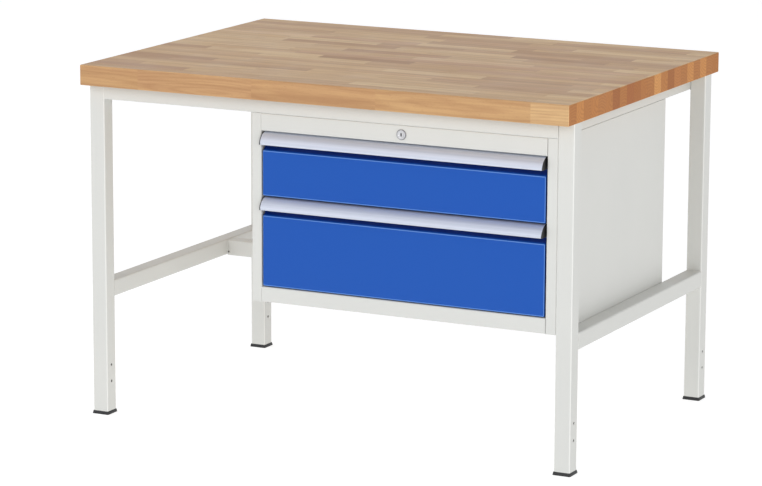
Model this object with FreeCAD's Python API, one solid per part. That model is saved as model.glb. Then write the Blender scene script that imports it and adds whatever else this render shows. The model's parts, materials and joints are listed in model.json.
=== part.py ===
import FreeCAD, Part
import math
import os

# Industrial workbench: solid beech top on a welded square-tube frame, with a two-drawer
# sheet-steel housing hung under the right-hand side.
# Frame: +X along the bench to the right, -Y towards the user, +Z up.
# Origin: on the floor under the centre of the worktop. All sizes in millimetres.

V = FreeCAD.Vector
HEX = 6
THREAD_FLATS = 8
WASHER_FLATS = 12
BARREL_FLATS = 16
ROSETTE_FLATS = 24
UP = V(0, 0, 1)
REARWARD = V(0, 1, 0)
RIGHTWARD = V(1, 0, 0)

# ---- overall ----
TOP_W = 1250.0
TOP_D = 900.0
TOP_T = 48.0
HEIGHT = 850.0
TOP_EASE = 1.2

# ---- tube frame ----
TUBE = 40.0
TUBE_WALL = 2.0
TUBE_R = 4.0
LEG_INSET_X = 2.0
LEG_INSET_Y = 38.0
TOP_RAIL_H = 36.0
SIDE_TOP_RAIL_W = 30.0
TOP_RAIL_R = 2.5
SIDE_RAIL_TOP = 324.0
BEAM_TOP = 322.0
BEAM_Y = 198.0
LEG_HOLE_R = 3.5
LEG_HOLE_Z = (80.0, 120.0)
DRAIN_HOLE_R = 2.5
DRAIN_FROM_END = 3.0
DRAIN_FROM_TOP = 30.0

# ---- feet ----
FOOT_H = 8.0
FOOT_FLARE = 2.0
FOOT_CORNER = 2.3
PLUG_H = 22.0
PLUG_GAP = 0.3
PLUG_WALL = 3.0

# ---- worktop fixing ----
TAB_LENGTH = 40.0
TAB_LEG = 26.0
TAB_T = 3.0
TAB_INSET = 60.0
TAB_HOLE_REACH = 15.0
WOOD_SCREW_R = 2.5
WOOD_SCREW_BITE = 30.0
WOOD_SCREW_HEAD_R = 5.0
WOOD_SCREW_HEAD_T = 2.8

# ---- drawer housing ----
SHEET = 1.5
BEND = 1.5
HOUSING_W = 770.0
HOUSING_D = 629.0
STILE = 25.0
RETURN = 18.0
FASCIA_H = 41.0
OPENING_H = 367.0
BOTTOM_RAIL_H = 36.0
SIDE_FLANGE = 20.0
REAR_FLANGE = 15.0
JOINT_LINE = 0.15
POST_W = 30.0
POST_CLEAR = 1.0
FRONT_POST_Y = -390.0
REAR_POST_Y = 160.0

# ---- housing fasteners ----
BOLT_R = 4.0
BOLT_HEAD_R = 7.5
BOLT_HEAD_H = 5.0
BOLT_REACH = 20.0
WASHER_R = 8.0
WASHER_T = 1.6
BOLT_INSET = 50.0
BOLT_BEHIND_RETURN = 10.0
BOLT_FROM_REAR = 120.0

# ---- drawers ----
FRONT_SIDE_GAP = 3.5
FRONT_GAP_Z = 3.0
FRONT_BOTTOM_GAP = 2.0
UPPER_FRONT_H = 150.0
LOWER_FRONT_H = 210.0
FRONT_DEPTH = 18.5
FRONT_SHEET = 1.5
FRONT_EDGE = 1.5
FRONT_BENDS = (4.0, 4.0, 3.0)
RECESS_DEPTH = 14.0
RECESS_TOP = 33.0
RECESS_FOLD = 45.0
FRONT_FLANGE = 25.0
TRAY_SHEET = 1.2
TRAY_HALF = 347.5
TRAY_REAR = 178.0
TRAY_LIFT = 12.0
UPPER_TRAY_H = 110.0
LOWER_TRAY_H = 170.0
HEM = 7.0
FRONT_SCREW_INSET = 9.5
FRONT_SCREW_LIFTS = (25.0, 85.0)
FRONT_SCREW_L = 12.0

# ---- grip strip: aluminium extrusion over the top edge of each front ----
GRIP_T = 2.0
GRIP_REACH = 17.0
GRIP_DROP = 28.0
GRIP_LIP = 4.0
GRIP_STEP = 0.8
GRIP_CROWN_Y = 8.0
GRIP_CROWN_SHIFT = 0.6
GRIP_BULGE = 3.5
GRIP_LEG = 22.0
CAP_T = 2.0

# ---- telescopic runners ----
RUNNER_T = 12.7
RUNNER_STEEL = 1.5
RUNNER_LIFT = 40.0
RUNNER_FRONT = -392.0
RUNNER_LIP = 3.2
OUTER_H = 45.0
OUTER_L = 590.0
OUTER_MOUTH = 3.7
MIDDLE_H = 34.0
MIDDLE_L = 580.0
MIDDLE_WEB = 8.7
MIDDLE_MOUTH = 2.2
INNER_H = 26.0
INNER_L = 570.0
INNER_MOUTH = 5.7

# ---- central lock ----
LOCK_DROP = 1.0
ROSETTE_R = 12.0
ROSETTE_T = 2.5
ROSETTE_EDGE = 1.2
LOCK_CASE_R = 8.5
LOCK_CASE_L = 24.0
LOCK_NUT_R = 12.7
LOCK_NUT_T = 4.0
PLUG_R = 6.0
PLUG_SINK = 0.5
PLUG_TAIL = 2.5
RUNNING_FIT = 0.05
KEYHOLE_W = 2.2
KEYHOLE_H = 8.0
KEYHOLE_DEPTH = 10.0
ROD_R = 4.0
BEARING_W = 30.0
BEARING_DEPTH = 18.0
BEARING_DROP = 12.0
BEARING_Y = 158.0
CRANK_R = 10.0
CRANK_REST = math.radians(45)
CRANK_PIN_R = 2.5
CRANK_EYE_R = 4.5
CRANK_T = 3.0
CRANK_GAP = 2.0
PIN_OVERRUN = 1.5
SLOT_PLAY = 0.8
BAR_W = 40.0
BAR_T = 3.0
BAR_FRONT = 210.0
BAR_BOTTOM = 400.0
BAR_TOP = 745.0
HOOK_W = 16.0
HOOK_FRONT = 186.0
HOOK_TAB = 14.0
HOOK_BELOW_RIM = 45.0
CATCH_GAP = 1.5
CATCH_RISE = 15.0
CATCH_CLEAR = 2.0
CATCH_PLATE = 22.0
GUIDE_H = 16.0
GUIDE_GAP = 0.4
GUIDE_WALL = 2.0
GUIDE_LIP = 6.0
GUIDE_LIFTS = (25.0, 200.0)

# ---- places worked out from the sizes above ----
UNDERSIDE = HEIGHT - TOP_T
LEG_OUT_X = TOP_W / 2 - LEG_INSET_X
LEG_IN_X = LEG_OUT_X - TUBE
LEG_OUT_Y = TOP_D / 2 - LEG_INSET_Y
LEG_IN_Y = LEG_OUT_Y - TUBE
TOP_RAIL_Z = UNDERSIDE - TOP_RAIL_H
HX1 = LEG_IN_X
HX0 = HX1 - HOUSING_W
HXC = (HX0 + HX1) / 2
HY0 = -LEG_OUT_Y
HY1 = HY0 + HOUSING_D
HZ1 = TOP_RAIL_Z
OPEN_Z1 = HZ1 - FASCIA_H
OPEN_Z0 = OPEN_Z1 - OPENING_H
HZ0 = OPEN_Z0 - BOTTOM_RAIL_H
OPEN_HALF = HOUSING_W / 2 - STILE
WALL_HALF = HOUSING_W / 2 - SHEET
FRONT_HALF = OPEN_HALF - FRONT_SIDE_GAP
LOWER_FRONT_Z = OPEN_Z0 + FRONT_BOTTOM_GAP
UPPER_FRONT_Z = LOWER_FRONT_Z + LOWER_FRONT_H + FRONT_GAP_Z
RUNNER_WALL = TRAY_HALF + RUNNER_T
LOCK_Z = (OPEN_Z1 + HZ1) / 2 - LOCK_DROP
BAR_X = HXC - CRANK_R * math.cos(CRANK_REST)


# ---------------------------------------------------------------- helpers
def box(x0, x1, y0, y1, z0, z1):
    return Part.makeBox(x1 - x0, y1 - y0, z1 - z0, V(x0, y0, z0))


def rod(radius, start, direction, length):
    return Part.makeCylinder(radius, length, start, direction)


def fuse(shapes):
    return shapes[0].fuse(list(shapes[1:])).removeSplitter()


def along(shape, direction):
    """Straight edges of a shape that run in the given direction."""
    picked = []
    for edge in shape.Edges:
        if edge.Curve.TypeId != "Part::GeomLine":
            continue
        run = edge.Vertexes[-1].Point.sub(edge.Vertexes[0].Point)
        if run.Length > 1e-6 and abs(run.normalize().dot(direction)) > 0.999:
            picked.append(edge)
    return picked


def tube(x0, x1, y0, y1, z0, z1, axis, corner=TUBE_R):
    """Square tube along an axis, open at both ends, with rounded outer corners."""
    bar = box(x0, x1, y0, y1, z0, z1)
    bar = bar.makeFillet(corner, along(bar, axis))
    wx, wy, wz = [0.0 if c else TUBE_WALL for c in (axis.x, axis.y, axis.z)]
    return bar.cut(box(x0 + wx, x1 - wx, y0 + wy, y1 - wy, z0 + wz, z1 - wz))


def mirrored(shape):
    """The right-hand twin of a left-hand piece of the housing."""
    return shape.mirror(V(HXC, 0, 0), RIGHTWARD)


def place(point, plane):
    a, b = point
    return {"xy": V(a, b, 0), "yz": V(0, a, b), "xz": V(a, 0, b)}[plane]


def normal(plane):
    return {"xy": UP, "yz": RIGHTWARD, "xz": REARWARD}[plane]


def rounded_face(points, radii, plane):
    """Face inside a closed outline whose corners have the given radii."""
    count = len(points)
    corners = [place(p, plane) for p in points]
    ends = []
    for i, corner in enumerate(corners):
        if not radii[i]:
            ends.append((corner, corner, corner))
            continue
        back = corners[i - 1].sub(corner).normalize()
        on = corners[(i + 1) % count].sub(corner).normalize()
        half = back.getAngle(on) / 2
        reach = radii[i] / math.tan(half)
        dip = radii[i] / math.sin(half) - radii[i]
        middle = corner.add(back.add(on).normalize() * dip)
        ends.append((corner.add(back * reach), middle, corner.add(on * reach)))
    edges = []
    for i, (start, middle, stop) in enumerate(ends):
        if radii[i]:
            edges.append(Part.Arc(start, middle, stop).toShape())
        following = ends[(i + 1) % count][0]
        if stop.distanceToPoint(following) > 1e-6:
            edges.append(Part.LineSegment(stop, following).toShape())
    return Part.Face(Part.Wire(edges))


def extruded(face, plane, start, stop):
    face.translate(normal(plane) * start)
    return face.extrude(normal(plane) * (stop - start))


def plate(points, plane, start, stop):
    """Flat piece with a sharp-cornered outline."""
    return extruded(rounded_face(points, [0.0] * len(points), plane), plane, start, stop)


def prism(radius, sides, centre, plane, length):
    """Regular prism, its radius taken to the corners, from its centre along the plane's normal."""
    step = 2 * math.pi / sides
    angles = [step * (i + 0.5) for i in range(sides)]
    corners = [(radius * math.cos(a), radius * math.sin(a)) for a in angles]
    solid = plate(corners, plane, 0.0, length)
    solid.translate(centre)
    return solid


def shank(radius, centre, plane, length):
    """Threaded shank of a fastener, and the hole for it: flats stand for the thread."""
    return prism(radius, THREAD_FLATS, centre, plane, length)


def offset_line(points, distance):
    """Parallel of an open run of straight lines, to its right."""
    segments = []
    for a, b in zip(points, points[1:]):
        length = math.hypot(b[0] - a[0], b[1] - a[1])
        n = ((b[1] - a[1]) / length * distance, -(b[0] - a[0]) / length * distance)
        segments.append(((a[0] + n[0], a[1] + n[1]), (b[0] + n[0], b[1] + n[1])))
    line = [segments[0][0]]
    for (p, q), (r, s) in zip(segments, segments[1:]):
        d1 = (q[0] - p[0], q[1] - p[1])
        d2 = (s[0] - r[0], s[1] - r[1])
        k = ((r[0] - p[0]) * d2[1] - (r[1] - p[1]) * d2[0]) / (d1[0] * d2[1] - d1[1] * d2[0])
        line.append((p[0] + d1[0] * k, p[1] + d1[1] * k))
    return line + [segments[-1][1]]


def folded_sheet(points, thickness, plane, start, stop, bend=BEND):
    """Bent sheet: a run of flats with radiused bends, its thickness to the right of the run.
    With no bend radius the fold is sharp inside and rounded by the sheet's thickness outside."""
    inside = offset_line(points, thickness)
    near, far = [0.0], [0.0]
    for a, b, c in zip(points, points[1:], points[2:]):
        turn = (b[0] - a[0]) * (c[1] - b[1]) - (b[1] - a[1]) * (c[0] - b[0])
        near.append(bend if turn > 0 else bend + thickness)
        far.append(bend + thickness if turn > 0 else bend)
    near.append(0.0)
    far.append(0.0)
    face = rounded_face(points + inside[::-1], near + far[::-1], plane)
    return extruded(face, plane, start, stop)


def creased_sheet(points, thickness, plane, start, stop):
    """Sheet of the same kind with sharp creases."""
    return plate(points + offset_line(points, thickness)[::-1], plane, start, stop)


# ---------------------------------------------------------------- worktop and frame
def tab_places():
    """Middle of each fixing tab on its rail's inner face, and the way it points."""
    places = []
    for x in (-LEG_IN_X + TAB_INSET, LEG_IN_X - TAB_INSET):
        places.append((V(x, -LEG_IN_Y, UNDERSIDE), REARWARD))
        places.append((V(x, LEG_IN_Y, UNDERSIDE), -REARWARD))
    for side in (-1, 1):
        places.append((V(side * (LEG_IN_X - SIDE_TOP_RAIL_W), 0, UNDERSIDE), RIGHTWARD * -side))
    return places


def screw_places():
    return [middle + inward * TAB_HOLE_REACH for middle, inward in tab_places()]


def worktop():
    slab = box(-TOP_W / 2, TOP_W / 2, -TOP_D / 2, TOP_D / 2, UNDERSIDE, HEIGHT)
    slab = slab.makeChamfer(TOP_EASE, slab.Edges)
    return slab.cut([shank(WOOD_SCREW_R, p, "xy", WOOD_SCREW_BITE) for p in screw_places()])


def worktop_tabs():
    tabs = []
    for middle, inward in tab_places():
        run = [(0.0, -TAB_LEG), (0.0, 0.0), (TAB_LEG, 0.0)]
        tab = creased_sheet(run, TAB_T, "yz", -TAB_LENGTH / 2, TAB_LENGTH / 2)
        tab = tab.cut(shank(WOOD_SCREW_R, V(0, TAB_HOLE_REACH, -TAB_T), "xy", TAB_T))
        tab.rotate(V(0, 0, 0), UP, math.degrees(math.atan2(inward.y, inward.x)) - 90)
        tab.translate(middle)
        tabs.append(tab)
    return Part.makeCompound(tabs)


def worktop_screws():
    screws = []
    for middle, inward in tab_places():
        seat = V(0, TAB_HOLE_REACH, -TAB_T)
        head = prism(WOOD_SCREW_HEAD_R, HEX, seat, "xy", -WOOD_SCREW_HEAD_T)
        screw = fuse([head, shank(WOOD_SCREW_R, seat, "xy", TAB_T + WOOD_SCREW_BITE)])
        screw.rotate(V(0, 0, 0), UP, math.degrees(math.atan2(inward.y, inward.x)) - 90)
        screw.translate(middle)
        screws.append(screw)
    return Part.makeCompound(screws)


def leg(side, depth):
    x0, x1 = sorted((side * LEG_IN_X, side * LEG_OUT_X))
    y0, y1 = sorted((depth * LEG_IN_Y, depth * LEG_OUT_Y))
    post = tube(x0, x1, y0, y1, FOOT_H, UNDERSIDE, UP)
    return post.cut([rod(LEG_HOLE_R, V(x0, (y0 + y1) / 2, z), RIGHTWARD, TUBE) for z in LEG_HOLE_Z])


def foot(side, depth):
    """Plastic end plug: a flared sole under the tube and a hollow shank pressed up inside it."""
    half = TUBE / 2
    flared = half + FOOT_FLARE
    sole = Part.makeWedge(-flared, 0, -flared, -half, -half, flared, FOOT_H, flared, half, half)
    sole.rotate(V(0, 0, 0), RIGHTWARD, 90)
    slants = [e for e in sole.Edges if e.BoundBox.ZLength > FOOT_H / 2]
    sole = sole.makeChamfer(FOOT_CORNER, slants)
    core = half - TUBE_WALL - PLUG_GAP
    well = core - PLUG_WALL
    stem = box(-core, core, -core, core, FOOT_H, FOOT_H + PLUG_H)
    stem = stem.cut(box(-well, well, -well, well, FOOT_H, FOOT_H + PLUG_H))
    plug = fuse([sole, stem])
    plug.translate(V(side * (LEG_IN_X + half), depth * (LEG_IN_Y + half), 0))
    return plug


def rail_bolt_holes():
    return [shank(BOLT_R, p, "xy", TUBE_WALL) for p in top_bolt_places()]


def long_top_rail(depth):
    y0, y1 = sorted((depth * LEG_IN_Y, depth * LEG_OUT_Y))
    rail = tube(-LEG_IN_X, LEG_IN_X, y0, y1, TOP_RAIL_Z, UNDERSIDE, RIGHTWARD, TOP_RAIL_R)
    return rail.cut(rail_bolt_holes())


def short_top_rail(side):
    x0, x1 = sorted((side * (LEG_IN_X - SIDE_TOP_RAIL_W), side * LEG_IN_X))
    rail = tube(x0, x1, -LEG_IN_Y, LEG_IN_Y, TOP_RAIL_Z, UNDERSIDE, REARWARD, TOP_RAIL_R)
    return rail.cut(rail_bolt_holes())


def side_rail(side):
    """Lower rail between the front and the rear leg of one side."""
    x0, x1 = sorted((side * LEG_IN_X, side * LEG_OUT_X))
    return tube(x0, x1, -LEG_IN_Y, LEG_IN_Y, SIDE_RAIL_TOP - TUBE, SIDE_RAIL_TOP, REARWARD)


def cross_beam():
    y0 = BEAM_Y - TUBE / 2
    beam = tube(-LEG_IN_X, LEG_IN_X, y0, y0 + TUBE, BEAM_TOP - TUBE, BEAM_TOP, RIGHTWARD)
    cuts = []
    for side in (-1, 1):
        drain = V(side * (LEG_IN_X - DRAIN_FROM_END), y0, BEAM_TOP - DRAIN_FROM_TOP)
        cuts.append(shank(DRAIN_HOLE_R, drain, "xz", TUBE_WALL))
    cuts += [shank(BOLT_R, p, "xy", -TUBE_WALL) for p in beam_bolt_places()]
    return beam.cut(cuts)


# ---------------------------------------------------------------- drawer housing
def top_bolt_places():
    """Points on the underside of the top rails where the housing hangs."""
    front_y = HY0 + RETURN + BOLT_BEHIND_RETURN
    row = [V(x, front_y, TOP_RAIL_Z) for x in (HX0 + BOLT_INSET, HXC + BOLT_INSET, HX1 - BOLT_INSET)]
    return row + [V(LEG_IN_X - SIDE_TOP_RAIL_W / 2, HY1 - BOLT_FROM_REAR, TOP_RAIL_Z)]


def beam_bolt_places():
    return [V(x, BEAM_Y, BEAM_TOP) for x in (HX0 + BOLT_INSET, HX1 - BOLT_INSET)]


def housing_side():
    """Left side wall: its front edge is folded inwards as the stile, with a return behind it."""
    stile_in = HX0 + STILE
    run = [(stile_in, HY0 + RETURN), (stile_in, HY0), (HX0, HY0), (HX0, HY1)]
    return folded_sheet(run, SHEET, "xy", HZ0, HZ1)


def housing_top():
    x0, x1 = HX0 + SHEET, HX1 - SHEET
    run = [(x0, HZ1 - SIDE_FLANGE), (x0, HZ1), (x1, HZ1), (x1, HZ1 - SIDE_FLANGE)]
    panel = folded_sheet(run, SHEET, "xz", HY0 + RETURN, HY1 - SHEET)
    return panel.cut([shank(BOLT_R, V(p.x, p.y, HZ1), "xy", -SHEET) for p in top_bolt_places()])


def housing_fascia():
    run = [(HY0 + RETURN, OPEN_Z1), (HY0, OPEN_Z1), (HY0, HZ1), (HY0 + RETURN, HZ1)]
    half = OPEN_HALF - JOINT_LINE
    sheet = folded_sheet(run, SHEET, "yz", HXC - half, HXC + half)
    return sheet.cut(lock_barrel(HY0, SHEET))


def housing_bottom():
    """Floor sheet: folded up in front as the bottom rail and behind as a stiffening flange."""
    rear = HY1 - SHEET
    run = [
        (rear, HZ0 + REAR_FLANGE), (rear, HZ0), (HY0, HZ0), (HY0, OPEN_Z0), (HY0 + RETURN, OPEN_Z0)]
    x0, x1 = HX0 + SHEET, HX1 - SHEET
    sheet = folded_sheet(run, SHEET, "yz", x0, x1)
    notch = STILE - SHEET + JOINT_LINE
    cuts = [box(x, x + notch, HY0, HY0 + RETURN, HZ0, OPEN_Z0) for x in (x0, x1 - notch)]
    cuts += [shank(BOLT_R, V(p.x, p.y, HZ0), "xy", SHEET) for p in beam_bolt_places()]
    return sheet.cut(cuts)


def housing_back():
    """Rear wall, its sides turned forward between the floor's flange and the top's."""
    x0, x1 = HX0 + SHEET, HX1 - SHEET
    wall = box(x0, x1, HY1 - SHEET, HY1, HZ0, HZ1)
    low, high = HZ0 + REAR_FLANGE + POST_CLEAR, HZ1 - SIDE_FLANGE - POST_CLEAR
    flanges = [
        box(x, x + SHEET, HY1 - REAR_FLANGE, HY1 - SHEET, low, high) for x in (x0, x1 - SHEET)]
    return fuse([wall] + flanges)


def runner_posts():
    """Two upright channels on the left wall that carry the runners."""
    web, wall = HXC - RUNNER_WALL, HXC - WALL_HALF
    posts = []
    for y in (FRONT_POST_Y, REAR_POST_Y):
        run = [(wall, y + POST_W), (web, y + POST_W), (web, y), (wall, y)]
        posts.append(creased_sheet(run, SHEET, "xy", HZ0 + SHEET, HZ1 - SIDE_FLANGE - POST_CLEAR))
    return Part.makeCompound(posts)


def hex_bolt(seat, way, thickness):
    """Hexagon bolt through a stack: its head under the seat, its shank up (1) or down (-1)."""
    head = prism(BOLT_HEAD_R, HEX, seat, "xy", -way * BOLT_HEAD_H)
    return fuse([head, shank(BOLT_R, seat, "xy", way * (thickness + BOLT_REACH))])


def bolt_seats():
    """Where each bolt's washer lies on the housing's sheet: up to the rails, down to the beam."""
    seats = [(V(p.x, p.y, HZ1 - SHEET), 1) for p in top_bolt_places()]
    return seats + [(V(p.x, p.y, HZ0 + SHEET), -1) for p in beam_bolt_places()]


def housing_bolts():
    bolts = []
    for seat, way in bolt_seats():
        bolts.append(hex_bolt(seat - UP * way * WASHER_T, way, WASHER_T + SHEET))
    return Part.makeCompound(bolts)


def housing_washers():
    washers = []
    for seat, way in bolt_seats():
        disc = prism(WASHER_R, WASHER_FLATS, seat, "xy", -way * WASHER_T)
        washers.append(disc.cut(shank(BOLT_R, seat, "xy", -way * WASHER_T)))
    return Part.makeCompound(washers)


# ---------------------------------------------------------------- runners
def runner_channel(web_half, mouth_half, height, length, z):
    """Left-hand channel of a runner: its web and its mouth at distances from the housing's middle."""
    web, mouth = HXC - web_half, HXC - mouth_half
    run = [(mouth, z - height / 2), (web, z - height / 2), (web, z + height / 2), (mouth, z + height / 2)]
    if mouth < web:
        run.reverse()
    return creased_sheet(run, RUNNER_STEEL, "xz", RUNNER_FRONT, RUNNER_FRONT + length)


def runner_outer(z):
    """Fixed member, with lips that keep the balls in."""
    channel = runner_channel(RUNNER_WALL, TRAY_HALF + OUTER_MOUTH, OUTER_H, OUTER_L, z)
    mouth = HXC - TRAY_HALF - OUTER_MOUTH
    inside = OUTER_H / 2 - RUNNER_STEEL
    lips = []
    for low in (z - inside, z + inside - RUNNER_LIP + RUNNER_STEEL):
        high = low + RUNNER_LIP - RUNNER_STEEL
        lips.append(box(mouth - RUNNER_STEEL, mouth, RUNNER_FRONT, RUNNER_FRONT + OUTER_L, low, high))
    return fuse([channel] + lips)


def runner_middle(z):
    return runner_channel(TRAY_HALF + MIDDLE_WEB, TRAY_HALF + MIDDLE_MOUTH, MIDDLE_H, MIDDLE_L, z)


def runner_inner(z):
    return runner_channel(TRAY_HALF, TRAY_HALF + INNER_MOUTH, INNER_H, INNER_L, z)


# ---------------------------------------------------------------- drawers
def front_outline(z, height, inset):
    """Section of a drawer front: flat face, a slope back to the finger recess, flat rear."""
    face, wall, rear = HY0 + inset, HY0 + RECESS_DEPTH + inset, HY0 + FRONT_DEPTH - inset
    slope = math.atan2(RECESS_FOLD - RECESS_TOP, RECESS_DEPTH)
    drop = inset * (1 - math.sin(slope)) / math.cos(slope)
    top = z + height - GRIP_T - inset
    return [
        (face, z + inset), (face, z + height - RECESS_FOLD - drop),
        (wall, z + height - RECESS_TOP - drop), (wall, top), (rear, top), (rear, z + inset)]


def drawer_front(z, height):
    """Folded front, hollow and open behind, with a flange all round for the tray."""
    rear = HY0 + FRONT_DEPTH
    bends = list(FRONT_BENDS) + [0.0, 0.0, 0.0]
    section = rounded_face(front_outline(z, height, 0.0), bends, "yz")
    block = extruded(section, "yz", HXC - FRONT_HALF, HXC + FRONT_HALF)
    face_edges = [e for e in along(block, UP) if abs(e.Vertexes[0].Point.y - HY0) < 0.01]
    block = block.makeChamfer(FRONT_EDGE, face_edges)
    half = FRONT_HALF - FRONT_SHEET
    hollow = plate(front_outline(z, height, FRONT_SHEET), "yz", HXC - half, HXC + half)
    opening = FRONT_HALF - FRONT_FLANGE
    window = box(
        HXC - opening, HXC + opening, rear - FRONT_SHEET, rear, z + FRONT_FLANGE, z + height - FRONT_FLANGE)
    holes = [shank(WOOD_SCREW_R, p, "xz", -FRONT_SHEET) for p in front_screw_places(z, rear)]
    return block.cut([hollow, window] + holes)


def front_screw_places(z, y):
    half = TRAY_HALF - FRONT_SCREW_INSET
    base = z + TRAY_LIFT
    return [V(HXC + side * half, y, base + lift) for side in (-1, 1) for lift in FRONT_SCREW_LIFTS]


def front_screws(z):
    screws = []
    for seat in front_screw_places(z, HY0 + FRONT_DEPTH + TRAY_SHEET):
        head = prism(WOOD_SCREW_HEAD_R, HEX, seat, "xz", WOOD_SCREW_HEAD_T)
        screws.append(fuse([head, shank(WOOD_SCREW_R, seat, "xz", -FRONT_SCREW_L)]))
    return Part.makeCompound(screws)


def tray(z, height):
    """Folded tray, open on top, with its side walls turned inwards at the rim."""
    base, rim, t = z + TRAY_LIFT, z + TRAY_LIFT + height, TRAY_SHEET
    left, right = HXC - TRAY_HALF, HXC + TRAY_HALF
    front = HY0 + FRONT_DEPTH
    run = [
        (right - HEM, rim), (right, rim), (right, base), (left, base), (left, rim), (left + HEM, rim)]
    trough = folded_sheet(run, t, "xz", front, TRAY_REAR, 0.0)
    ends = [box(left + t, right - t, y, y + t, base + t, rim - t) for y in (front, TRAY_REAR - t)]
    holes = [shank(WOOD_SCREW_R, p, "xz", t) for p in front_screw_places(z, front)]
    return fuse([trough] + ends).cut(holes)


def arc(start, stop, bulge, forward):
    """Arc in the YZ plane whose middle stands off its chord, up and to the front or the rear."""
    middle = V(0, (start[0] + stop[0]) / 2 + forward * bulge, (start[1] + stop[1]) / 2 + bulge)
    return Part.Arc(place(start, "yz"), middle, place(stop, "yz")).toShape()


def chain(points):
    return [Part.LineSegment(place(a, "yz"), place(b, "yz")).toShape() for a, b in zip(points, points[1:])]


def grip_crown(top):
    """Where the strip's flat top turns into its convex front."""
    return (HY0 + GRIP_CROWN_Y, top)


def grip_tip(top):
    """Lower end of the convex front."""
    return (HY0 - GRIP_REACH, top - GRIP_DROP + GRIP_LIP)


def grip_strip(top):
    """Extruded strip: convex front, a lip set back below it, a web over the top edge and a leg."""
    t = GRIP_T
    rear, leg_back = HY0 + FRONT_DEPTH, HY0 + RECESS_DEPTH
    crown, tip = grip_crown(top), grip_tip(top)
    lip = tip[0] + GRIP_STEP
    crown_in, tip_in = (crown[0] + GRIP_CROWN_SHIFT, top - t), (lip + t, tip[1])
    low = top - GRIP_DROP
    edges = chain([(rear, top), crown])
    edges.append(arc(crown, tip, GRIP_BULGE, -1))
    edges += chain([tip, (lip, tip[1]), (lip, low), (tip_in[0], low), tip_in])
    edges.append(arc(tip_in, crown_in, GRIP_BULGE, -1))
    edges += chain([
        crown_in, (leg_back - t, top - t), (leg_back - t, top - GRIP_LEG),
        (leg_back, top - GRIP_LEG), (leg_back, top - t), (rear, top - t), (rear, top)])
    half = FRONT_HALF - CAP_T
    return extruded(Part.Face(Part.Wire(edges)), "yz", HXC - half, HXC + half)


def grip_caps(top):
    """Moulded end caps on both ends of a grip strip."""
    crown, tip = grip_crown(top), grip_tip(top)
    back = HY0 + RECESS_DEPTH
    low = top - GRIP_DROP
    edges = chain([(back, top), crown])
    edges.append(arc(crown, tip, GRIP_BULGE, -1))
    edges += chain([tip, (tip[0], low), (back, low), (back, top)])
    start = HXC - FRONT_HALF
    left = extruded(Part.Face(Part.Wire(edges)), "yz", start, start + CAP_T)
    return Part.makeCompound([left, mirrored(left)])


# ---------------------------------------------------------------- central lock
def hook_tip(z, tray_height):
    """Height of the locking hook's tip for the drawer whose front starts at z."""
    return z + TRAY_LIFT + tray_height - HOOK_BELOW_RIM


def catch(z, tray_height):
    """Angle on the back of a tray that the locking bar's hook holds."""
    tip = hook_tip(z, tray_height)
    tab = HOOK_FRONT + BAR_T + CATCH_GAP
    low, high = tip + CATCH_CLEAR, tip + CATCH_RISE + BAR_T
    run = [
        (TRAY_REAR, high - CATCH_PLATE), (TRAY_REAR, high), (tab + BAR_T, high), (tab + BAR_T, low)]
    return creased_sheet(run, BAR_T, "yz", BAR_X - HOOK_W / 2, BAR_X + HOOK_W / 2)


def locking_bar(hook_tips):
    """Upright flat bar behind the drawers, with one hook each and a slot for the crank pin."""
    x0, x1 = BAR_X - BAR_W / 2, BAR_X + BAR_W / 2
    y0, y1 = BAR_FRONT, BAR_FRONT + BAR_T
    pieces = [box(x0, x1, y0, y1, BAR_BOTTOM, BAR_TOP)]
    for tip in hook_tips:
        arm = tip - HOOK_TAB - BAR_T
        run = [(y0, arm), (HOOK_FRONT, arm), (HOOK_FRONT, tip)]
        pieces.append(creased_sheet(run, BAR_T, "yz", BAR_X - HOOK_W / 2, BAR_X + HOOK_W / 2))
    reach = CRANK_PIN_R + SLOT_PLAY
    pin_z = LOCK_Z - CRANK_R * math.sin(CRANK_REST)
    left, right = HXC - CRANK_R, BAR_X
    slot = fuse([
        rod(reach, V(left, y0, pin_z), REARWARD, BAR_T),
        rod(reach, V(right, y0, pin_z), REARWARD, BAR_T),
        box(left, right, y0, y1, pin_z - reach, pin_z + reach)])
    return fuse(pieces).cut(slot)


def bar_guides():
    """Two hat-shaped clips on the back wall that guide the locking bar."""
    back = HY1 - SHEET - GUIDE_WALL
    front = BAR_FRONT - GUIDE_GAP
    left, right = BAR_X - BAR_W / 2 - GUIDE_GAP, BAR_X + BAR_W / 2 + GUIDE_GAP
    run = [
        (right - GUIDE_LIP, front), (right, front), (right, back),
        (left, back), (left, front), (left + GUIDE_LIP, front)]
    lows = [BAR_BOTTOM + lift for lift in GUIDE_LIFTS]
    clips = [creased_sheet(run, GUIDE_WALL, "xy", low, low + GUIDE_H) for low in lows]
    return Part.makeCompound(clips)


def rod_bearing():
    """Angle under the housing top that carries the rear end of the lock rod."""
    ceiling = HZ1 - SHEET
    run = [
        (BEARING_Y, LOCK_Z - BEARING_DROP), (BEARING_Y, ceiling), (BEARING_Y + BEARING_DEPTH, ceiling)]
    angle = creased_sheet(run, BAR_T, "yz", HXC - BEARING_W / 2, HXC + BEARING_W / 2)
    return angle.cut(rod(ROD_R + RUNNING_FIT, V(HXC, BEARING_Y, LOCK_Z), REARWARD, BAR_T))


def lock_barrel(y, length):
    """Threaded barrel of the lock, and the hole for it: flats stand for the thread."""
    return prism(LOCK_CASE_R, BARREL_FLATS, V(HXC, y, LOCK_Z), "xz", length)


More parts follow.
